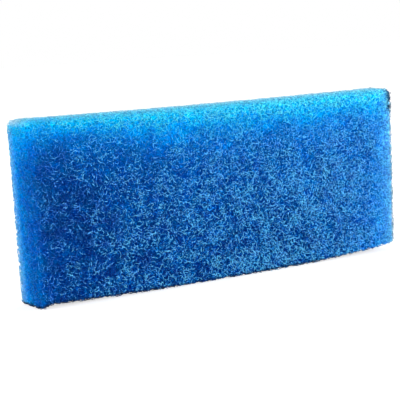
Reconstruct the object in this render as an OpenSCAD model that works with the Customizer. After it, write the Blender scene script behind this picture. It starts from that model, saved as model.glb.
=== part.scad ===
// Cleaning sponge: a thick slab of springy nonwoven fibre, standing on its long trimmed edge.
// +X runs along the slab, +Y through its thickness, +Z up from the edge it stands on.
// The origin is the middle of the surface it stands on. All sizes are in millimetres.

/* [Slab] */
// Length of the slab along its top edge
slab_l = 250; // [200:1:300]
// Height of the slab as it stands on its long edge
slab_h = 100; // [80:1:120]
// Thickness of the slab
slab_t = 25; // [18:0.5:32]

/* [Edges] */
// Radius of the slab's upper corners, as seen from its broad faces
corner_round = 3; // [2:0.5:6]
// Radius that the springy web takes across its thickness where it was die-cut
cut_round = 7; // [4:0.5:8]
// Radius of the corners and edges of the hand-trimmed foot
foot_round = 3; // [2:0.5:4]
// How much shorter the foot is than the top, at each end
end_lean = 2.5; // [0:0.5:6]
// How far the trimmed foot rises at its right-hand end
foot_rise = 3.5; // [0:0.25:5]
// Length of the foot that this rise takes
rise_l = 65; // [40:1:100]

/* [Web] */
// Distance between the open pores of the fibre web
pore_pitch = 4.8; // [4.7:0.1:8]
// Depth of an open pore on the two broad faces
pore_depth = 3.2; // [1:0.1:4]
// Depth of an open pore on the die-cut top and ends, where the fibres lie close
cut_pore_depth = 1; // [0.2:0.1:1.6]
// Depth of the notches torn in the hand-trimmed foot
tear_depth = 2; // [0.5:0.1:2.4]
// Share of the pores that loops of fibre bridge over, level with the crests
bridged_share = 0.2; // [0.05:0.01:0.5]
// Share of the crest points that sag, so that neighbouring pores run together
sagging_share = 0.35; // [0:0.01:0.6]
// Depth of the deepest sag, as a share of a pore's depth
sag_depth = 0.6; // [0:0.05:0.8]
// Width of the broad patches where the web is thicker or thinner
patch = 38; // [20:1:60]
// How much shallower the pores are in the thickest patches, as a share
patch_fill = 0.55; // [0:0.05:0.8]
// Picks one of the many random tangles
tangle_seed = 7; // [1:1:99]

/* [Hidden] */
slab_blue = "#1F6FD2";

slab = [slab_l, slab_t, slab_h];
// Number of pores along the length, through the thickness and up the height
pores = [for (side = slab) max(3, round(side / pore_pitch))];
// How far a crest and the middle of a pore may wander from their regular places, in pores
crest_wander = 0.24;
pore_wander = 0.14;
// How far the rows of pores swirl out of line, in pores
swirl = 1.1;
// How many half pores one swirl spans, and over how many the swirl fades out towards an edge
swirl_span = 11;
swirl_fade = 6;
// Depth of the shallowest open pore, as a share of the deepest
least_open = 0.45;

function blend(a, b, t) = a + (b - a) * t;
function ease(t) = t * t * (3 - 2 * t);
function clamp(v, low, high) = min(max(v, low), high);

// A repeatable random number from 0 to 1 for each whole-number place and purpose
function chance(place, purpose) =
    let (v = sin(place * [1271.31, 3117.93, 747.77] + purpose * 913.7 + tangle_seed * 53.17) * 43758.5453)
    v - floor(v);

// Smooth random field from 0 to 1 that changes over a distance of about 1
function field(p) =
    let (
        c = [for (v = p) floor(v)],
        t = [for (n = [0:2]) ease(p[n] - c[n])],
        at = function(i, j, k) chance(c + [i, j, k], 0),
        low = blend(blend(at(0, 0, 0), at(1, 0, 0), t.x), blend(at(0, 1, 0), at(1, 1, 0), t.x), t.y),
        high = blend(blend(at(0, 0, 1), at(1, 0, 1), t.x), blend(at(0, 1, 1), at(1, 1, 1), t.x), t.y))
    blend(low, high, t.z);

// Places on the web are counted in half pores from the slab's lower left front corner.
// A crest lies where all three counts are even, and the middle of a pore where two are odd.
function is_pore(place) = max([for (count = place) count % 2]) > 0;

// How far the web sinks at a place, as a share of a full pore's depth
function sink(place) =
    is_pore(place)
    ? (chance(place, 1) < bridged_share ? 0 : blend(least_open, 1, chance(place, 2)))
    : (chance(place, 3) < sagging_share ? sag_depth * chance(place, 4) : 0);

// Depth of a full pore at a point p of the slab's skin whose outward normal is n
function full_depth(p, n) =
    let (
        broad = n.y * n.y,
        below = pow(max(0, -n.z), 2),
        thick = field(p / patch))
    (broad * pore_depth + below * tear_depth + (1 - broad - below) * cut_pore_depth)
    * (1 - patch_fill * thick);

// Height of the foot above the surface it stands on, at a distance x from the middle
function foot_height(x) =
    let (past = clamp(1 - (slab_l / 2 - x) / rise_l, 0, 1))
    foot_rise * past * past;

// Distance of a place along side n of the slab, from 0 to 1
function along(place, n) =
    let (
        total = 2 * pores[n],
        from_edge = min(place[n], total - place[n]),
        shift = (is_pore(place) ? pore_wander : crest_wander) * (2 * chance(place, 5 + n) - 1),
        calm = ease(min(1, from_edge / swirl_fade)),
        bend = swirl * calm * (field(place / swirl_span + [11 * n, 0, 0]) - 0.5))
    from_edge == 0 ? place[n] / total : (place[n] / 2 + shift + bend) / pores[n];

// The point of the finished surface for a place on the web
function web_point(place) =
    let (
        box = [for (n = [0:2]) slab[n] * along(place, n)] - [slab_l / 2, slab_t / 2, 0],
        top_share = ease(box.z / slab_h),
        side_r = blend(foot_round, corner_round, top_share),
        r = [side_r, blend(foot_round, cut_round, top_share), side_r],
        core = [
            clamp(box.x, r.x - slab_l / 2, slab_l / 2 - r.x),
            clamp(box.y, r.y - slab_t / 2, slab_t / 2 - r.y),
            clamp(box.z, foot_round, slab_h - corner_round)],
        away = [for (n = [0:2]) (box[n] - core[n]) / r[n]],
        turn = away / norm(away),
        skin = [for (n = [0:2]) core[n] + r[n] * turn[n]],
        steep = [for (n = [0:2]) turn[n] / r[n]],
        normal = steep / norm(steep),
        sunk = skin - full_depth(skin, normal) * sink(place) * normal,
        foot_share = 1 - sunk.z / slab_h)
    [
        sunk.x * (1 - 2 * end_lean / slab_l * foot_share),
        sunk.y,
        sunk.z + foot_height(sunk.x) * foot_share];

// Number of crest points in one broad face, and in one ring round the rim
face_crests = (pores.x + 1) * (pores.z + 1);
ring_crests = 2 * (pores.x + pores.z);

// The place of crest s along the rim of the front face, starting at the lower left corner
function rim_place(s) =
    let (n = s % ring_crests)
    n < pores.x ? [2 * n, 0, 0]
    : n < pores.x + pores.z ? [2 * pores.x, 0, 2 * (n - pores.x)]
    : n < 2 * pores.x + pores.z ? [2 * (2 * pores.x + pores.z - n), 0, 2 * pores.z]
    : [0, 0, 2 * (ring_crests - n)];

// The index of a crest point, by its column and row on a broad face
function front_index(i, k) = k * (pores.x + 1) + i;
function back_index(i, k) = face_crests + front_index(i, k);

// The index of a crest point, by its step along the rim and its depth into the thickness
function rim_index(s, j) =
    let (place = rim_place(s) / 2)
    j == 0 ? front_index(place.x, place.z)
    : j == pores.y ? back_index(place.x, place.z)
    : 2 * face_crests + (j - 1) * ring_crests + s % ring_crests;

crest_places = [
    for (k = [0:pores.z]) for (i = [0:pores.x]) [2 * i, 0, 2 * k],
    for (k = [0:pores.z]) for (i = [0:pores.x]) [2 * i, 2 * pores.y, 2 * k],
    for (j = [1:pores.y - 1]) for (s = [0:ring_crests - 1]) rim_place(s) + [0, 2 * j, 0]];

// The four crests round each pore, counter-clockwise as seen from outside
pore_rims = [
    for (k = [0:pores.z - 1]) for (i = [0:pores.x - 1])
        [front_index(i, k), front_index(i + 1, k), front_index(i + 1, k + 1), front_index(i, k + 1)],
    for (k = [0:pores.z - 1]) for (i = [0:pores.x - 1])
        [back_index(i, k), back_index(i, k + 1), back_index(i + 1, k + 1), back_index(i + 1, k)],
    for (j = [0:pores.y - 1]) for (s = [0:ring_crests - 1])
        [rim_index(s, j), rim_index(s, j + 1), rim_index(s + 1, j + 1), rim_index(s + 1, j)]];

// The middle of each pore, halfway between its opposite crests
pore_places = [for (rim = pore_rims) (crest_places[rim[0]] + crest_places[rim[2]]) / 2];

web_points = [for (place = concat(crest_places, pore_places)) web_point(place)];

// Each pore is four triangles that fall from its rim of crests to its middle
web_faces = [
    for (n = [0:len(pore_rims) - 1]) for (side = [0:3])
        [pore_rims[n][(side + 1) % 4], pore_rims[n][side], len(crest_places) + n]];

module fibre_slab() {
    color(slab_blue) polyhedron(points = web_points, faces = web_faces, convexity = 6);
}

fibre_slab();
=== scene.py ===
import math

import bpy
from mathutils import Matrix, Vector, noise


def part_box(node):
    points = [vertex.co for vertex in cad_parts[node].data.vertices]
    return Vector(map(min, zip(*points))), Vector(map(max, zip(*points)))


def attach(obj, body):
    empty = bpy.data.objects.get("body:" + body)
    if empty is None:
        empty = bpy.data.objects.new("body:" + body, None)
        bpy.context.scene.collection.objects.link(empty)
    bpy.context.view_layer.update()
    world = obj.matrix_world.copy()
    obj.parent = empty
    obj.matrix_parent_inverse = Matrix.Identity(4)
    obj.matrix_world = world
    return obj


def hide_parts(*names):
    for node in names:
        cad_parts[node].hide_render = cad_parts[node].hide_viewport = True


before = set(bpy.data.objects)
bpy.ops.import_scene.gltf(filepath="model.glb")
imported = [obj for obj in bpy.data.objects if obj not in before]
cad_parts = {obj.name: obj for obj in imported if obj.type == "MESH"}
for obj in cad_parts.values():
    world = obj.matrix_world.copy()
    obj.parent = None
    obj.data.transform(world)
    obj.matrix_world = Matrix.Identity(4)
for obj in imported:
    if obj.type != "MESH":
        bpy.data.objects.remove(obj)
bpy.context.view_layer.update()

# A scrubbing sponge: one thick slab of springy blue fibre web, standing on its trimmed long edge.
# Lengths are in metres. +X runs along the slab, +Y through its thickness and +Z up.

MM = 0.001

SLAB_LOW, SLAB_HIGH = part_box("fibre_slab")
BODY = "root"

# The slab's own form. It follows the part's source, but its foot has sharper edges and rises less,
# over a longer stretch of the right-hand end
slab_l = 250 * MM
slab_t = SLAB_HIGH.y - SLAB_LOW.y
slab_h = SLAB_HIGH.z - SLAB_LOW.z
corner_round = 3 * MM
cut_round = 7 * MM
foot_round = 2 * MM
end_lean = 2.5 * MM
foot_rise = 2.5 * MM
rise_l = 80 * MM
# How much higher the bowed slab's ends are than its middle, along its top and along its foot
top_bow = 0.8 * MM
foot_bow = 2.3 * MM
# How far the left-hand corner of the foot droops again, and the length of the foot that this takes
foot_droop = 2.3 * MM
droop_l = 9 * MM

# The hand-trimmed foot: how far the notches torn in it rise, and how far apart they lie
tear_rise = 0.6 * MM
tear_span = 5 * MM

# The bed is the skin that the fibres follow
bed_step = 2.5 * MM

# The core fills what can't be seen into. It lies deeper under the open middle of the broad faces
core_step = 1.6 * MM
core_open_inset = 1.8 * MM
core_cut_inset = 0.3 * MM
core_relief = 1.4 * MM
core_clump = 5 * MM
# How far in from the cut edges the web stays close before it is fully open
close_web = 14 * MM
# How far in from there the fibres of the broad faces lie flatter
calm_web = 22 * MM

# Width of the patches where the fibres lie denser or sparser
clump_span = 9 * MM

# The fibre tree's inputs, apart from the skin that the fibres grow on
FIBRE_INPUTS = (
    ("Density", "NodeSocketFloat"),
    ("Clumping", "NodeSocketFloat"),
    ("Seed", "NodeSocketInt"),
    ("Joints", "NodeSocketInt"),
    ("Reach", "NodeSocketFloat"),
    ("Curl radius", "NodeSocketFloat"),
    ("Turns", "NodeSocketFloat"),
    ("Crimp", "NodeSocketFloat"),
    ("Crimps per metre", "NodeSocketFloat"),
    ("Bob", "NodeSocketFloat"),
    ("Bob rate", "NodeSocketFloat"),
    ("Calm", "NodeSocketFloat"),
    ("Layer depth", "NodeSocketFloat"),
    ("Crest height", "NodeSocketFloat"),
    ("Fibre radius", "NodeSocketFloat"),
    ("Material", "NodeSocketMaterial"),
)


def clamp(value, low, high):
    return min(max(value, low), high)


def ease(share):
    """A share from 0 to 1 with a soft start and a soft end."""
    return share * share * (3 - 2 * share)


def slab_point(box_point):
    """Moves a point of the slab's outer box to its rounded, leaning skin. Also gives the normal there."""
    x, y, z = box_point
    top_share = ease(z / slab_h)
    side_r = foot_round + (corner_round - foot_round) * top_share
    r = Vector((side_r, foot_round + (cut_round - foot_round) * top_share, side_r))
    core = Vector((
        clamp(x, r.x - slab_l / 2, slab_l / 2 - r.x),
        clamp(y, r.y - slab_t / 2, slab_t / 2 - r.y),
        clamp(z, foot_round, slab_h - corner_round)))
    away = Vector(((x - core.x) / r.x, (y - core.y) / r.y, (z - core.z) / r.z)).normalized()
    point = core + r * away
    normal = Vector((away.x / r.x, away.y / r.y, away.z / r.z)).normalized()
    foot_share = 1 - point.z / slab_h
    past = clamp(1 - (slab_l / 2 - point.x) / rise_l, 0, 1)
    # The foot is notched where the noise is high, and only on its underside
    torn = clamp(3 * noise.noise(point / tear_span) - 0.3, 0, 1) * max(0, -normal.z)
    bowed = (top_bow + (foot_bow - top_bow) * foot_share) * (2 * point.x / slab_l) ** 2
    bowed -= foot_droop * foot_share * ease(clamp(1 - (point.x + slab_l / 2) / droop_l, 0, 1))
    point.z += foot_rise * past * past * foot_share + tear_rise * torn + bowed
    point.x *= 1 - 2 * end_lean / slab_l * foot_share
    return point, normal


def slab_shell(name, step, sink):
    """A closed shell of the slab's form, in square cells of about step, sunk by sink(point, normal)."""
    sides = (slab_l, slab_t, slab_h)
    cells = [max(2, round(side / step)) for side in sides]
    points = []
    index = {}

    def corner(place):
        if place not in index:
            box_point = [side * count / total for side, count, total in zip(sides, place, cells)]
            box_point[0] -= slab_l / 2
            box_point[1] -= slab_t / 2
            point, normal = slab_point(box_point)
            index[place] = len(points)
            points.append(point - normal * sink(point, normal))
        return index[place]

    faces = []
    for axis in range(3):
        across, up = (axis + 1) % 3, (axis + 2) % 3
        for level, outward in ((0, False), (cells[axis], True)):
            for i in range(cells[across]):
                for j in range(cells[up]):
                    ring = []
                    for di, dj in ((0, 0), (1, 0), (1, 1), (0, 1)):
                        place = [0, 0, 0]
                        place[axis] = level
                        place[across] = i + di
                        place[up] = j + dj
                        ring.append(corner(tuple(place)))
                    faces.append(ring if outward else ring[::-1])
    mesh = bpy.data.meshes.new(name)
    mesh.from_pydata(points, [], faces)
    mesh.polygons.foreach_set("use_smooth", [True] * len(mesh.polygons))
    mesh.update()
    return mesh


def add_object(name, data):
    """Puts a mesh, a camera or a lamp into the scene, unmoved and unturned."""
    piece = bpy.data.objects.new(name, data)
    bpy.context.scene.collection.objects.link(piece)
    return piece


class Tree:
    """Adds nodes to a node tree and wires each named input to a value or to another socket."""

    def __init__(self, tree):
        self.tree = tree

    def add(self, kind, inputs=None, **settings):
        node = self.tree.nodes.new(kind)
        for name, value in settings.items():
            setattr(node, name, value)
        for key, value in (inputs or {}).items():
            if isinstance(value, bpy.types.NodeSocket):
                self.tree.links.new(value, node.inputs[key])
            else:
                node.inputs[key].default_value = value
        return node

    def calc(self, operation, *values):
        """A sum on numbers."""
        return self.add("ShaderNodeMath", dict(enumerate(values)), operation=operation).outputs[0]

    def vec(self, operation, *values, scale=None):
        """A sum on vectors."""
        inputs = dict(enumerate(values))
        if scale is not None:
            inputs["Scale"] = scale
        node = self.add("ShaderNodeVectorMath", inputs, operation=operation)
        return node.outputs["Value" if operation in ("DOT_PRODUCT", "LENGTH") else 0]


def fibre_tree():
    """Geometry Nodes that cover a skin with curly fibres, each a thin closed tube."""
    group = bpy.data.node_groups.new("curly_fibres", "GeometryNodeTree")
    face = group.interface
    face.new_socket("Geometry", in_out="INPUT", socket_type="NodeSocketGeometry")
    for name, kind in FIBRE_INPUTS:
        face.new_socket(name, in_out="INPUT", socket_type=kind)
    face.new_socket("Geometry", in_out="OUTPUT", socket_type="NodeSocketGeometry")
    t = Tree(group)
    given = t.add("NodeGroupInput").outputs
    skin = given["Geometry"]

    clumps = t.add("ShaderNodeTexNoise", {
        "Scale": 1 / clump_span, "Detail": 1.0, "Roughness": 0.5}).outputs["Fac"]
    clumped = t.add("ShaderNodeMapRange", {
        "Value": clumps, "From Min": 0.35, "From Max": 0.65,
        "To Min": t.calc("SUBTRACT", 1.0, given["Clumping"]),
        "To Max": t.calc("ADD", 1.0, given["Clumping"])}).outputs[0]
    scattered = t.add("GeometryNodeDistributePointsOnFaces", {
        "Mesh": skin, "Density": t.calc("MULTIPLY", given["Density"], clumped), "Seed": given["Seed"]})
    point_index = t.add("GeometryNodeInputIndex").outputs[0]

    def chance(low, high, salt):
        """A random number for each fibre."""
        node = t.add("FunctionNodeRandomValue", {
            2: low, 3: high, "ID": point_index, "Seed": t.calc("ADD", given["Seed"], salt)})
        return node.outputs[1]

    # The fibres lie more along the slab than up it
    random_axis = t.add("FunctionNodeRandomValue", {
        0: (-0.6, -1, -1), 1: (0.6, 1, 1), "ID": point_index, "Seed": t.calc("ADD", given["Seed"], 1)},
        data_type="FLOAT_VECTOR").outputs[0]
    normal = scattered.outputs["Normal"]
    along = t.vec("NORMALIZE", t.vec("CROSS_PRODUCT", normal, random_axis))
    across = t.vec("CROSS_PRODUCT", normal, along)

    kept = {
        "fibre": ("INT", point_index),
        "home": ("FLOAT_VECTOR", t.add("GeometryNodeInputPosition").outputs[0]),
        "along": ("FLOAT_VECTOR", along),
        "across": ("FLOAT_VECTOR", across),
        "reach": ("FLOAT", chance(0.6, 1.3, 2)),
        "curl": ("FLOAT", chance(0.45, 1.25, 3)),
        "turns": ("FLOAT", chance(0.4, 1.2, 4)),
        "phase": ("FLOAT", chance(0, 2 * math.pi, 5)),
        "level": ("FLOAT", chance(0, 1, 6)),
        "tint": ("FLOAT", chance(0, 1, 7)),
    }
    points = scattered.outputs["Points"]
    for name, (kind, value) in kept.items():
        points = t.add("GeometryNodeStoreNamedAttribute", {
            "Geometry": points, "Name": name, "Value": value},
            data_type=kind, domain="POINT").outputs[0]

    def recall(name):
        return t.add("GeometryNodeInputNamedAttribute", {"Name": name},
            data_type=kept[name][0]).outputs[0]

    copies = t.add("GeometryNodeDuplicateElements", {
        "Geometry": points, "Amount": given["Joints"]}, domain="POINT")
    step = copies.outputs["Duplicate Index"]
    copied = t.add("GeometryNodeStoreNamedAttribute", {
        "Geometry": copies.outputs["Geometry"], "Name": "step", "Value": step},
        data_type="FLOAT", domain="POINT").outputs[0]
    step = t.add("GeometryNodeInputNamedAttribute", {"Name": "step"}, data_type="FLOAT").outputs[0]
    progress = t.calc("DIVIDE", step, t.calc("SUBTRACT", given["Joints"], 1))

    # The fibre's path: a run along the skin, curled into loops and crimped by noise
    angle = t.calc("MULTIPLY_ADD", t.calc("MULTIPLY", progress, 2 * math.pi),
        t.calc("MULTIPLY", recall("turns"), given["Turns"]), recall("phase"))
    radius = t.calc("MULTIPLY", recall("curl"), given["Curl radius"])
    run = t.calc("MULTIPLY", t.calc("SUBTRACT", progress, 0.5),
        t.calc("MULTIPLY", recall("reach"), given["Reach"]))
    forward = t.calc("MULTIPLY_ADD", t.calc("COSINE", angle), radius, run)
    sideways = t.calc("MULTIPLY", t.calc("SINE", angle), radius)
    path = t.vec("ADD", recall("home"), t.vec("ADD",
        t.vec("SCALE", recall("along"), scale=forward),
        t.vec("SCALE", recall("across"), scale=sideways)))
    drift = t.add("ShaderNodeCombineXYZ", {
        0: t.calc("MULTIPLY", recall("tint"), 37), 1: t.calc("MULTIPLY", recall("level"), 53),
        2: t.calc("MULTIPLY", run, given["Crimps per metre"])}).outputs[0]
    crimp = t.add("ShaderNodeTexNoise", {
        "Vector": t.vec("ADD", t.vec("SCALE", path, scale=given["Crimps per metre"]), drift),
        "Scale": 1.0, "Detail": 1.0, "Roughness": 0.6}).outputs["Color"]
    crimp = t.vec("SCALE", t.vec("SUBTRACT", crimp, (0.5, 0.5, 0.5)), scale=given["Crimp"])
    path = t.vec("ADD", path, crimp)

    # The fibre follows the skin, above it where the level is low and sunk where it is high
    near = t.add("GeometryNodeProximity", {
        "Geometry": skin, "Sample Position": path}, target_element="FACES").outputs["Position"]
    outward = t.add("GeometryNodeSampleNearestSurface", {
        "Mesh": skin, "Value": t.add("GeometryNodeInputNormal").outputs[0], "Sample Position": path},
        data_type="FLOAT_VECTOR").outputs[0]
    bob = t.calc("MULTIPLY", given["Bob"],
        t.calc("SINE", t.calc("MULTIPLY_ADD", angle, given["Bob rate"], recall("phase"))))
    sunk = t.calc("ADD", t.calc("MULTIPLY", recall("level"), given["Layer depth"]), bob)
    # It lies flatter near the cut top and ends, where the web is close
    home = t.add("ShaderNodeSeparateXYZ", {"Vector": recall("home")}).outputs
    from_edge = t.calc("MINIMUM", t.calc("SUBTRACT", slab_h, home["Z"]),
        t.calc("SUBTRACT", slab_l / 2, t.calc("ABSOLUTE", home["X"])))
    flatness = t.add("ShaderNodeMapRange", {
        "Value": from_edge, "From Max": calm_web, "To Min": given["Calm"], "To Max": 0.0},
        interpolation_type="SMOOTHSTEP").outputs[0]
    sunk = t.calc("MULTIPLY", sunk, t.calc("SUBTRACT", 1.0, flatness))
    lift = t.calc("SUBTRACT", given["Crest height"], sunk)
    copied = t.add("GeometryNodeStoreNamedAttribute", {
        "Geometry": copied, "Name": "height", "Value": lift}, data_type="FLOAT", domain="POINT").outputs[0]
    lifted = t.vec("ADD", near, t.vec("SCALE", outward, scale=lift))
    floor_clear = t.add("ShaderNodeCombineXYZ", {0: -1.0, 1: -1.0, 2: given["Fibre radius"]}).outputs[0]
    placed = t.add("GeometryNodeSetPosition", {
        "Geometry": copied, "Position": t.vec("MAXIMUM", lifted, floor_clear)}).outputs[0]

    curves = t.add("GeometryNodePointsToCurves", {
        "Points": placed, "Curve Group ID": recall("fibre"), "Weight": step}).outputs[0]
    section = t.add("GeometryNodeCurvePrimitiveCircle", {
        "Resolution": 3, "Radius": given["Fibre radius"]}).outputs["Curve"]
    tubes = t.add("GeometryNodeCurveToMesh", {
        "Curve": curves, "Profile Curve": section, "Fill Caps": True}).outputs[0]
    tubes = t.add("GeometryNodeSetShadeSmooth", {"Geometry": tubes}).outputs[0]
    for name in kept:
        if name != "tint":
            tubes = t.add("GeometryNodeRemoveAttribute", {"Geometry": tubes, "Name": name}).outputs[0]
    tubes = t.add("GeometryNodeRemoveAttribute", {"Geometry": tubes, "Name": "step"}).outputs[0]
    real = t.add("GeometryNodeRealizeInstances", {"Geometry": tubes}).outputs[0]
    finished = t.add("GeometryNodeSetMaterial", {
        "Geometry": real, "Material": given["Material"]}).outputs[0]
    t.add("NodeGroupOutput", {"Geometry": finished})
    return group


def grow_fibres(name, bed, group, **sizes):
    """Runs the fibre tree on a bed mesh and returns the result as a plain piece."""
    grower = add_object(name + "_grower", bed)
    modifier = grower.modifiers.new("fibres", "NODES")
    modifier.node_group = group
    socket_of = {item.name: item.identifier for item in group.interface.items_tree
        if item.in_out == "INPUT"}
    for input_name, value in sizes.items():
        modifier[socket_of[input_name.replace("_", " ")]] = value
    graph = bpy.context.evaluated_depsgraph_get()
    mesh = bpy.data.meshes.new_from_object(grower.evaluated_get(graph), depsgraph=graph)
    mesh.name = name
    grower.modifiers.remove(modifier)
    bpy.data.objects.remove(grower)
    piece = add_object(name, mesh)
    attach(piece, BODY)
    return piece


def part_of(mesh, name, wanted):
    """A copy of a skin mesh that keeps only the faces whose centre and normal are wanted."""
    faces = [p for p in mesh.polygons if wanted(p.center, p.normal)]
    used = sorted({v for p in faces for v in p.vertices})
    index = {v: n for n, v in enumerate(used)}
    kept = bpy.data.meshes.new(name)
    kept.from_pydata([mesh.vertices[v].co for v in used], [],
        [[index[v] for v in p.vertices] for p in faces])
    kept.polygons.foreach_set("use_smooth", [True] * len(kept.polygons))
    kept.update()
    return kept


# The fibres' colours with painted shade and painted light, from those deep in the web, painted dark,
# to those that stand up into the light, painted bright
SHADED_WEB_COLOURS = (
    (0.0, (0.000, 0.050, 0.290, 1)),
    (0.25, (0.001, 0.115, 0.480, 1)),
    (0.5, (0.008, 0.236, 0.790, 1)),
    (0.75, (0.035, 0.400, 0.980, 1)),
    (1.0, (0.110, 0.610, 1.000, 1)),
)
# Painted light: the fibres' colours towards the cut edges, painted lighter and more cyan where
# light shines through the web
PAINTED_GLOW_COLOURS = (
    (0.0, (0.002, 0.235, 0.960, 1)),
    (0.37, (0.002, 0.385, 1.000, 1)),
    (0.6, (0.005, 0.500, 1.000, 1)),
    (0.85, (0.014, 0.660, 1.000, 1)),
    (1.0, (0.085, 0.780, 1.000, 1)),
)
# The colour of the painted shade along the trimmed foot, and of the darker upper corner of the
# right-hand end
DARKENING_COLOUR = (0.003, 0.028, 0.100, 1)
# The pale colour of the painted highlight on the outer rims of the cut top and the left-hand end
RIM_HIGHLIGHT_COLOUR = (0.550, 0.780, 0.920, 1)
# The grey colour painted along the front edge of the right-hand end
GREY_EDGE_COLOUR = (0.340, 0.340, 0.300, 1)
# The pale colour of the thin fringe at the right-hand end, a painted highlight
FRINGE_HIGHLIGHT_COLOUR = (0.450, 0.600, 0.900, 1)

# Spacing of the web's broad lighter and darker patches
patch_span = 14 * MM
# Spacing of the patches that lean to violet or to cyan
hue_span = 5 * MM
# Spacing of the specks that break up the foot's painted shade and the darker corner
speck_span = 3 * MM
# Spacing of the small hollows between the fibres, darkened with painted shade
hollow_span = 2.1 * MM
# Spacing of the curls drawn on the core
curl_span = 2.0 * MM
# Spacing of the flecks along a fibre
fleck_span = 0.75 * MM

# Heights over the skin at which a fibre of the broad faces is painted as dark and as bright as the web
# gets: painted shade on the deep fibres, painted light on the high ones
low_fibre = -1.1 * MM
high_fibre = 0.5 * MM
# Height at which a fibre of the cut edges is painted as bright as the web gets
high_cut_fibre = 2.2 * MM
# How bright a fibre is painted, from painted shade to painted light, at the low and the high of
# these heights
HEIGHT_SHADE_LEVELS = (0.05, 1.15)
# What its brightness is multiplied by in the darkest and the lightest fibres
TINT_LEVELS = (0.35, 1.35)
# The same in the darkest and the lightest broad patches
PATCH_LEVELS = (0.5, 1.4)
# The same at the left-hand and the right-hand end: painted light that brightens the web
# towards the right
END_LIGHT_LEVELS = (0.44, 2.2)
# The same at the wall of a hollow, with painted light, and in its middle, with painted shade
HOLLOW_LEVELS = (1.45, 0.35)
# Distances from the wall, in spans, that count as these two
HOLLOW_WALLS = (0.03, 0.22)
# Powers that the hollows' levels are raised to, at the left-hand and the right-hand end
HOLLOW_POWERS = (1.1, 2.6)
# Brightness of the curls drawn on the core
curl_level = 0.4
# Place and size, along and up, of one broad patch near the left-hand end that is painted darker, and
# how much darker it is
DARK_PATCH_AT = (-100 * MM, 50 * MM)
DARK_PATCH_SIZE = (32 * MM, 13 * MM)
dark_patch_share = 0.42

# The hue over its patches, where 0.5 leaves a colour as it is
HUES = (0.495, 0.508)
# The saturation of the darkest fibres and of those that stand out most, paler as a painted highlight
SATURATIONS = (1.02, 0.955)
# The value in a hollow's middle, with painted shade, and at its wall, and in the darkest and the
# lightest flecks
HOLLOW_VALUES = (0.76, 1.02)
FLECK_VALUES = (0.76, 1.24)

# How far the painted light reaches in from the cut top and ends, how strong it is at their back
# edge, and how much of a step from the back face towards the front counts as a step into the web
TOP_PAINTED_GLOW = (17.5 * MM, 1.0, 0.08)
LEFT_PAINTED_GLOW = (7.6 * MM, 0.7, 0.48)
RIGHT_PAINTED_GLOW = (17 * MM, 0.64, 0.08)
# Length by the left-hand and the right-hand end over which the painted light from the top fades
# faster, and how many times as fast at the end itself
LEFT_FADE = (80 * MM, 1.65)
RIGHT_FADE = (55 * MM, 1.5)
# Height from which the painted light from the right-hand end fades faster, and how many times at the top
HIGH_FADE = (45 * MM, 1.9)
# How much of the colour the painted glow takes over, for each step of its strength, and how it
# brightens from the darkest to the brightest fibres
painted_glow_share = 2.0
PAINTED_GLOW_LEVELS = (0.78, 1.7)
# How far the pale fringe, a painted highlight, reaches in, and its share of the colour at the end
fringe_reach = 5 * MM
fringe_share = 0.5
# Places through the thickness between which the fringe thins out, and what is left of it behind them
FRINGE_PLACES = (-6 * MM, 2 * MM)
fringe_left = 0.2

# The pale rims of the cut top and left-hand end, a painted highlight, and the grey front edge of the
# right-hand end: the depths between which each begins and is full, the same for the place through
# the thickness, and its full share
TOP_RIM = ((3.8 * MM, 1.2 * MM), (-12 * MM, 4 * MM), 0.85)
LEFT_RIM = ((3 * MM, 1.5 * MM), (3 * MM, 10 * MM), 0.35)
GREY_EDGE_RIM = ((3 * MM, 0.8 * MM), (-5 * MM, -9 * MM), 0.6)
# Heights between which the painted shade along the trimmed foot thins out
FOOT_SHADE = (0.66 * MM, 2.2 * MM)
# Heights, and depths in from the right-hand end, between which the darkening of the loose threads
# begins and is full, and its full share
THREAD_HEIGHTS = (84 * MM, 88 * MM)
THREAD_DEPTHS = (6 * MM, 3 * MM)
thread_share = 0.85


def ramp_of(t, factor, colours):
    """A colour ramp through the given places and colours."""
    ramp = t.add("ShaderNodeValToRGB", {"Fac": factor})
    stops = ramp.color_ramp.elements
    stops[0].position, stops[0].color = colours[0]
    stops[1].position, stops[1].color = colours[-1]
    for position, colour in colours[1:-1]:
        stops.new(position).color = colour
    return ramp.outputs["Color"]


def blended(t, share, colour, other):
    """A colour with a share of another mixed in."""
    return t.add("ShaderNodeMix", {0: share, 6: colour, 7: other}, data_type="RGBA").outputs[2]


def mapped(t, value, from_range, to_range, smooth=False):
    """A value carried from one range over to another, and kept within that one."""
    return t.add("ShaderNodeMapRange", {
        "Value": value, "From Min": from_range[0], "From Max": from_range[1],
        "To Min": to_range[0], "To Max": to_range[1]},
        interpolation_type="SMOOTHSTEP" if smooth else "LINEAR").outputs[0]


def noise_at(t, where, span, detail=0.0, roughness=0.5):
    """Soft noise whose bumps lie about one span apart: a factor, and a colour of three factors."""
    return t.add("ShaderNodeTexNoise", {
        "Vector": where, "Scale": 1 / span, "Detail": detail, "Roughness": roughness}).outputs


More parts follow.
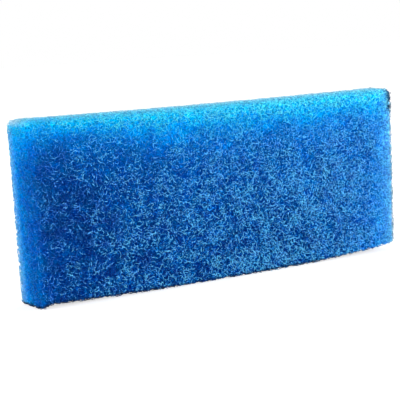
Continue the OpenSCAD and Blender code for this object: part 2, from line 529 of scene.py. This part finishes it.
def straightened(t, where):
    """A place with the slab's bow and droop and the lean of its ends taken out.

    Gives its Y and Z, and its depths in from the cut top and the two cut ends.
    """
    place = t.add("ShaderNodeSeparateXYZ", {"Vector": where}).outputs
    off_middle = t.calc("DIVIDE", place["X"], slab_l / 2)
    bow = mapped(t, place["Z"], (0.0, slab_h), (foot_bow, top_bow))
    bowed = t.calc("MULTIPLY", t.calc("MULTIPLY", off_middle, off_middle), bow)
    droop = t.calc("MULTIPLY", mapped(t, place["Z"], (0.0, slab_h), (foot_droop, 0.0)),
        mapped(t, place["X"], (-slab_l / 2, droop_l - slab_l / 2), (1.0, 0.0)))
    height = t.calc("ADD", t.calc("SUBTRACT", place["Z"], bowed), droop)
    narrowing = mapped(t, place["Z"], (0.0, slab_h), (1 - 2 * end_lean / slab_l, 1.0))
    along = t.calc("DIVIDE", place["X"], narrowing)
    return {
        "Y": place["Y"],
        "Z": height,
        "top": t.calc("SUBTRACT", slab_h, height),
        "left": t.calc("ADD", along, slab_l / 2),
        "right": t.calc("SUBTRACT", slab_l / 2, along),
    }


def painted_glow_at(t, place):
    """How much painted light comes through the web at a place, from the cut top and the two cut ends."""
    forward = t.calc("SUBTRACT", slab_t / 2, place["Y"])
    by_left = mapped(t, place["left"], (0.0, LEFT_FADE[0]), (LEFT_FADE[1], 1.0))
    by_right = mapped(t, place["right"], (0.0, RIGHT_FADE[0]), (RIGHT_FADE[1], 1.0))
    high = mapped(t, place["Z"], (HIGH_FADE[0], slab_h), (1.0, HIGH_FADE[1]))
    depths = (
        (t.calc("MULTIPLY", place["top"], t.calc("MULTIPLY", by_left, by_right)), TOP_PAINTED_GLOW),
        (place["left"], LEFT_PAINTED_GLOW),
        (t.calc("MULTIPLY", place["right"], high), RIGHT_PAINTED_GLOW),
    )
    # Each painted light adds its share of what the ones before it leave
    unlit = 1.0
    for depth, (reach, strength, slant) in depths:
        faded = t.calc("EXPONENT", t.calc("DIVIDE", t.calc("MULTIPLY_ADD", forward, slant, depth), -reach))
        unlit = t.calc("MULTIPLY", unlit, t.calc("MULTIPLY_ADD", faded, -strength, 1.0))
    return t.calc("SUBTRACT", 1.0, unlit)


def fringe_highlight_at(t, place):
    """How much of the pale fringe, a painted highlight, there is at a place."""
    fringe = t.calc("EXPONENT", t.calc("DIVIDE", place["right"], -fringe_reach))
    fringe = t.calc("MULTIPLY", fringe, mapped(t, place["Y"], FRINGE_PLACES, (1.0, fringe_left)))
    return t.calc("MULTIPLY", fringe, fringe_share)


def curls_at(t, where, spacing, width):
    """Thin curly lines drawn where a noise crosses its middle value, from 0 between them to 1."""
    value = noise_at(t, where, spacing, detail=1.5)["Fac"]
    off = t.calc("ABSOLUTE", t.calc("SUBTRACT", value, 0.5))
    return mapped(t, off, (0.0, width), (1.0, 0.0), smooth=True)


def hollow_shade_at(t, where):
    """How light the web is painted for its hollows: painted shade in the middle of each, painted light
    where strands meet.
    """
    bend = t.vec("SUBTRACT", noise_at(t, where, hollow_span)["Color"], (0.5, 0.5, 0.5))
    bent = t.vec("ADD", where, t.vec("SCALE", bend, scale=hollow_span))
    from_wall = t.add("ShaderNodeTexVoronoi", {
        "Vector": bent, "Scale": 1 / hollow_span}, feature="DISTANCE_TO_EDGE").outputs["Distance"]
    place = t.add("ShaderNodeSeparateXYZ", {"Vector": where}).outputs
    power = mapped(t, place["X"], (-slab_l / 2, slab_l / 2), HOLLOW_POWERS)
    return t.calc("POWER", mapped(t, from_wall, HOLLOW_WALLS, HOLLOW_LEVELS), power)


def dark_patch_at(t, where):
    """How much of one broad darker patch near the left-hand end lies at a place: 1 in its middle."""
    place = t.add("ShaderNodeSeparateXYZ", {"Vector": where}).outputs
    along = t.calc("DIVIDE", t.calc("SUBTRACT", place["X"], DARK_PATCH_AT[0]), DARK_PATCH_SIZE[0])
    up = t.calc("DIVIDE", t.calc("SUBTRACT", place["Z"], DARK_PATCH_AT[1]), DARK_PATCH_SIZE[1])
    spread = t.calc("ADD", t.calc("MULTIPLY", along, along), t.calc("MULTIPLY", up, up))
    return t.calc("EXPONENT", t.calc("MULTIPLY", spread, -1.0))


def patches_at(t, where):
    """How light the web is for its broad patches. Painted light lightens it from the left-hand end to the
    right.
    """
    patches = noise_at(t, where, patch_span, detail=2.0, roughness=0.65)["Fac"]
    patches = mapped(t, patches, (0.35, 0.65), PATCH_LEVELS)
    place = t.add("ShaderNodeSeparateXYZ", {"Vector": where}).outputs
    # Painted light: lighter towards the right-hand end
    patches = t.calc("MULTIPLY", patches, mapped(t, place["X"], (-slab_l / 2, slab_l / 2), END_LIGHT_LEVELS))
    return t.calc("MULTIPLY", patches, t.calc("MULTIPLY_ADD", dark_patch_at(t, where), -dark_patch_share, 1.0))


def fibre_level(t, highest):
    """How bright a fibre is painted: painted shade the deeper it lies, painted light the higher it
    stands, and not the same for all.
    """
    tint = t.add("ShaderNodeAttribute", attribute_name="tint").outputs["Fac"]
    height = t.add("ShaderNodeAttribute", attribute_name="height").outputs["Fac"]
    return t.calc("MULTIPLY", mapped(t, height, (low_fibre, highest), HEIGHT_SHADE_LEVELS),
        mapped(t, tint, (0.0, 1.0), TINT_LEVELS))


def core_level(t, where):
    """How bright the core is: dark with painted shade, with two nets of fine curls drawn on it."""
    curls = t.calc("MAXIMUM", curls_at(t, where, curl_span, 0.06),
        curls_at(t, t.vec("ADD", where, (0.31, 0.17, 0.23)), curl_span * 1.3, 0.05))
    return t.calc("MULTIPLY", curls, curl_level)


def varied(t, where, colour, standing, hollows):
    """A colour that is paler on fibres that stand out, a painted highlight, darker in hollows, painted
    shade, flecked and of uneven hue.
    """
    hues = noise_at(t, where, hue_span)["Fac"]
    flecks = mapped(t, noise_at(t, where, fleck_span)["Fac"], (0.3, 0.7), FLECK_VALUES)
    return t.add("ShaderNodeHueSaturation", {
        "Hue": mapped(t, hues, (0.3, 0.7), HUES),
        "Saturation": mapped(t, standing, (0.3, 1.3), SATURATIONS),
        "Value": t.calc("MULTIPLY", mapped(t, hollows, (0.15, 1.0), HOLLOW_VALUES), flecks),
        "Color": colour}).outputs[0]


def rim_at(t, place, depth, rim):
    """How strong the mark of one rim is at a place."""
    depths, places, full = rim
    return t.calc("MULTIPLY", mapped(t, place[depth], depths, (0.0, full)),
        mapped(t, place["Y"], places, (0.0, 1.0)))


def darkening_at(t, where, place):
    """How dark the web is painted at a place: painted shade along the trimmed foot, and darker on the
    threads by one corner.
    """
    specks = mapped(t, noise_at(t, where, speck_span, detail=1.0)["Fac"], (0.4, 0.52), (0.0, 1.0))
    foot = mapped(t, place["Z"], FOOT_SHADE, (1.0, 0.0))
    foot = t.calc("MULTIPLY", foot, t.calc("MULTIPLY_ADD", specks, 0.5, 0.5))
    threads = t.calc("MULTIPLY", mapped(t, place["Z"], THREAD_HEIGHTS, (0.0, thread_share)),
        mapped(t, place["right"], THREAD_DEPTHS, (0.0, 1.0)))
    return t.calc("MAXIMUM", foot, t.calc("MULTIPLY", threads, specks))


def web_material(name, deep=False, highest=high_fibre):
    """Blue web, mottled in patches, with painted light: lighter and more cyan near the cut edges, and
    lighter towards the right-hand end.

    A fibre is painted as bright as it stands high, with painted shade on the deep ones, and brightest at
    a height that few fibres of the close cut edges reach. Hollows and the foot get painted shade, the
    rims and the fringe a painted highlight. The deep web is painted dark as painted shade, with finer
    curls drawn on it instead.
    """
    material = bpy.data.materials.new(name)
    material.use_nodes = True
    t = Tree(material.node_tree)
    where = t.add("ShaderNodeTexCoord").outputs["Object"]
    place = straightened(t, where)
    # Painted shade in the middle of small hollows, and painted light where strands meet
    hollows = hollow_shade_at(t, where)
    # Painted shade on deep fibres and the core, painted light on fibres that stand high
    standing = t.calc("MULTIPLY", core_level(t, where) if deep else fibre_level(t, highest), hollows)
    level = t.calc("MULTIPLY", standing, patches_at(t, where))
    # Painted light: lighter and more cyan towards the cut edges, where light shines through the web
    painted_glow = painted_glow_at(t, place)
    brightened = t.calc("MULTIPLY", painted_glow, mapped(t, level, (0.0, 0.8), PAINTED_GLOW_LEVELS))
    share = t.calc("MINIMUM", t.calc("MULTIPLY", painted_glow, painted_glow_share), 1.0)
    colour = blended(t, share, ramp_of(t, level, SHADED_WEB_COLOURS), ramp_of(t, brightened, PAINTED_GLOW_COLOURS))
    # Painted highlight: a pale fringe at the right-hand end
    colour = blended(t, fringe_highlight_at(t, place), colour, FRINGE_HIGHLIGHT_COLOUR)
    colour = varied(t, where, colour, standing, hollows)
    # Painted highlight on the pale rims of the cut top and the left-hand end
    pale = t.calc("MAXIMUM", rim_at(t, place, "top", TOP_RIM), rim_at(t, place, "left", LEFT_RIM))
    colour = blended(t, pale, colour, RIM_HIGHLIGHT_COLOUR)
    # A grey edge painted along the front of the right-hand end
    colour = blended(t, rim_at(t, place, "right", GREY_EDGE_RIM), colour, GREY_EDGE_COLOUR)
    # Painted shade along the trimmed foot, and a darker upper corner of the right-hand end
    colour = blended(t, darkening_at(t, where, place), colour, DARKENING_COLOUR)
    shader = t.tree.nodes["Principled BSDF"]
    t.tree.links.new(colour, shader.inputs["Base Color"])
    shader.inputs["Roughness"].default_value = 0.8 if deep else 0.5
    shader.inputs["Specular IOR Level"].default_value = 0.0 if deep else 0.1
    return material


def make_core():
    """The tangle too deep to see into: a closed pad with soft pits under the fibres, in painted shade."""
    def sink(point, normal):
        from_edge = min(slab_h - point.z, slab_l / 2 - abs(point.x))
        openness = normal.y * normal.y * ease(clamp(from_edge / close_web, 0, 1))
        lumps = 0.5 + 0.5 * noise.noise(point / core_clump)
        return core_cut_inset + openness * (core_open_inset - core_cut_inset + core_relief * lumps)

    core = add_object("web_core", slab_shell("web_core", core_step, sink))
    core.data.materials.append(web_material("deep_web", deep=True))
    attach(core, BODY)
    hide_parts("fibre_slab")


# Each of the next four picks the faces of the bed that a layer of fibres grows on. The fibres of the
# broad faces and those of the cut edges overlap on the rounding between them
def broad_face(facing, end):
    """One half of a broad face: facing is -1 for the front and 1 for the back, end -1 for the left."""
    return lambda centre, normal: facing * normal.y > 0.5 and (centre.x >= 0) == (end > 0)


def cut_end(end):
    """One of the two cut ends: end is -1 for the left-hand one."""
    return lambda centre, normal: (
        abs(normal.y) < 0.9 and -0.5 <= normal.z <= 0.3 and (centre.x >= 0) == (end > 0))


def cut_top(centre, normal):
    return abs(normal.y) < 0.9 and normal.z > 0.3


def trimmed_foot(centre, normal):
    return abs(normal.y) < 0.9 and normal.z < -0.5


# The random seed of the first layer of fibres. Each layer after it has the next one
first_seed = 10


def make_fibres():
    """Grows the layers of fibres: crests and deeper fibres on the broad faces, a close web elsewhere."""
    group = fibre_tree()
    bed = slab_shell("bed", bed_step, lambda point, normal: 0)
    fibre = web_material("web_fibre")
    cut_fibre = web_material("cut_fibre", highest=high_cut_fibre)
    crests = dict(
        Density=230000.0, Clumping=0.4, Joints=11, Reach=5.5 * MM, Curl_radius=1.0 * MM, Turns=1.4,
        Crimp=1.2 * MM, Crimps_per_metre=700.0, Bob=0.75 * MM, Bob_rate=1.2, Calm=0.6,
        Layer_depth=0.4 * MM, Crest_height=0.0, Fibre_radius=0.21 * MM, Material=fibre)
    unders = dict(
        Density=45000.0, Clumping=0.2, Joints=10, Reach=8 * MM, Curl_radius=1.0 * MM, Turns=1.5,
        Crimp=2.4 * MM, Crimps_per_metre=330.0, Bob=0.4 * MM, Bob_rate=1.0, Calm=0.3,
        Layer_depth=0.7 * MM, Crest_height=-0.8 * MM, Fibre_radius=0.23 * MM, Material=fibre)
    cut_web = dict(
        Density=300000.0, Clumping=0.2, Joints=8, Reach=3 * MM, Curl_radius=0.5 * MM, Turns=1.6,
        Crimp=1.3 * MM, Crimps_per_metre=600.0, Bob=0.25 * MM, Bob_rate=1.0, Calm=0.0,
        Layer_depth=0.5 * MM, Crest_height=0.5 * MM, Fibre_radius=0.22 * MM, Material=cut_fibre)
    left_web = dict(cut_web, Density=340000.0, Clumping=0.0, Crest_height=0.6 * MM)
    right_web = dict(cut_web, Bob=0.3 * MM, Layer_depth=1.0 * MM, Crest_height=0.9 * MM)
    foot_web = dict(cut_web, Density=200000.0, Bob=0.4 * MM, Crest_height=0.4 * MM)
    back_crests = dict(crests, Density=140000.0, Fibre_radius=0.24 * MM)
    back_unders = dict(unders, Density=35000.0)
    layers = (
        ("front_left_crests", broad_face(-1, -1), crests),
        ("front_right_crests", broad_face(-1, 1), crests),
        ("front_left_unders", broad_face(-1, -1), unders),
        ("front_right_unders", broad_face(-1, 1), unders),
        ("back_left_crests", broad_face(1, -1), back_crests),
        ("back_right_crests", broad_face(1, 1), back_crests),
        ("back_left_unders", broad_face(1, -1), back_unders),
        ("back_right_unders", broad_face(1, 1), back_unders),
        ("top_fibres", cut_top, cut_web),
        ("left_end_fibres", cut_end(-1), left_web),
        ("right_end_fibres", cut_end(1), right_web),
        ("foot_fibres", trimmed_foot, foot_web),
    )
    for seed, (name, wanted, sizes) in enumerate(layers, first_seed):
        grow_fibres(name, part_of(bed, name + "_bed", wanted), group, Seed=seed, **sizes)


# The camera's place, found by fitting the slab's outline to the photograph. Angles are in degrees
image_px = 400
focal_px = 1330
camera_azimuth = -32.34
camera_elevation = 7.19
camera_roll = -3.09
camera_distance = 0.7675
camera_target = Vector((-12 * MM, 0, 45.7 * MM))


def aim_camera():
    """Places the camera round its target, and turns it by its roll."""
    azimuth, elevation, roll = map(math.radians, (camera_azimuth, camera_elevation, camera_roll))
    back = Vector((
        math.sin(azimuth) * math.cos(elevation),
        -math.cos(azimuth) * math.cos(elevation),
        math.sin(elevation)))
    right = (-back).cross(Vector((0, 0, 1))).normalized()
    up = back.cross(right)
    turned_right = right * math.cos(roll) + up * math.sin(roll)
    turned_up = up * math.cos(roll) - right * math.sin(roll)
    data = bpy.data.cameras.new("camera")
    data.lens = data.sensor_width * focal_px / image_px
    data.clip_start = 0.05
    camera = add_object("camera", data)
    camera.matrix_world = Matrix.Translation(camera_target + back * camera_distance) @ Matrix(
        (turned_right, turned_up, back)).transposed().to_4x4()
    bpy.context.scene.camera = camera


# The lamps: name, place, the place that it is aimed at, width, height and watts
SOFTBOXES = (
    ("top_light", (0.15, 0.05, 0.7), (0, 0, 0.05), 0.5, 0.4, 2.2),
    ("left_light", (-0.7, 0.2, 0.33), (-0.1, 0, 0.05), 0.4, 0.4, 3.1),
    ("front_light", (-0.45, -0.65, 0.2), (-0.06, 0, 0.05), 0.5, 0.4, 2.75),
    ("right_light", (0.42, -0.36, 0.16), (0.1, 0, 0.035), 0.25, 0.25, 2.7),
)
# How strongly the white world lights the slab, and how white it looks
world_light = 0.16
world_seen = 1.0
# Half the side of the square floor, and its own grey
floor_half = 6
FLOOR_COLOUR = (0.6, 0.6, 0.6, 1)
# Distances from the slab's middle between which the white added to the seen floor grows
FLOOR_DISTANCES = (0.2, 0.6)
# How strong that white is near the slab and far from it
FLOOR_WHITES = (0.65, 1.0)


def add_softbox(name, place, aim, width, height, watts):
    data = bpy.data.lights.new(name, "AREA")
    data.shape = "RECTANGLE"
    data.size = width
    data.size_y = height
    data.energy = watts
    lamp = add_object(name, data)
    direction = Vector(aim) - Vector(place)
    lamp.matrix_world = Matrix.Translation(place) @ direction.to_track_quat("-Z", "Y").to_matrix().to_4x4()


def seen_share(t):
    """1 for what the camera, mirrors and glass see, and 0 for the light that falls on the slab."""
    path = t.add("ShaderNodeLightPath").outputs
    return t.calc("MAXIMUM", path["Is Camera Ray"],
        t.calc("MAXIMUM", path["Is Glossy Ray"], path["Is Transmission Ray"]))


def make_floor():
    """A pale floor that looks white and keeps the slab's shadow."""
    half = floor_half
    mesh = bpy.data.meshes.new("floor")
    mesh.from_pydata([(-half, -half, 0), (half, -half, 0), (half, half, 0), (-half, half, 0)], [],
        [(0, 1, 2, 3)])
    floor = add_object("floor", mesh)
    material = bpy.data.materials.new("pale_floor")
    material.use_nodes = True
    t = Tree(material.node_tree)
    shader = t.tree.nodes["Principled BSDF"]
    shader.inputs["Base Color"].default_value = FLOOR_COLOUR
    shader.inputs["Roughness"].default_value = 0.9
    shader.inputs["Specular IOR Level"].default_value = 0.1
    # The added white is weaker near the slab, so that its shadow stays
    away = t.vec("LENGTH", t.add("ShaderNodeTexCoord").outputs["Object"])
    white = mapped(t, away, FLOOR_DISTANCES, FLOOR_WHITES)
    added = t.add("ShaderNodeEmission", {"Strength": t.calc("MULTIPLY", seen_share(t), white)})
    both = t.add("ShaderNodeAddShader", {0: shader.outputs[0], 1: added.outputs[0]})
    t.tree.links.new(both.outputs[0], t.tree.nodes["Material Output"].inputs["Surface"])
    mesh.materials.append(material)


def light_studio():
    """A white world that lights the slab only softly, and four soft lamps."""
    world = bpy.data.worlds.new("studio")
    bpy.context.scene.world = world
    world.use_nodes = True
    t = Tree(world.node_tree)
    sky = t.tree.nodes["Background"]
    sky.inputs["Color"].default_value = (1, 1, 1, 1)
    strength = mapped(t, seen_share(t), (0.0, 1.0), (world_light, world_seen))
    t.tree.links.new(strength, sky.inputs["Strength"])
    for softbox in SOFTBOXES:
        add_softbox(*softbox)


make_core()
make_fibres()
aim_camera()
make_floor()
light_studio()
bpy.context.scene.view_settings.view_transform = "Standard"
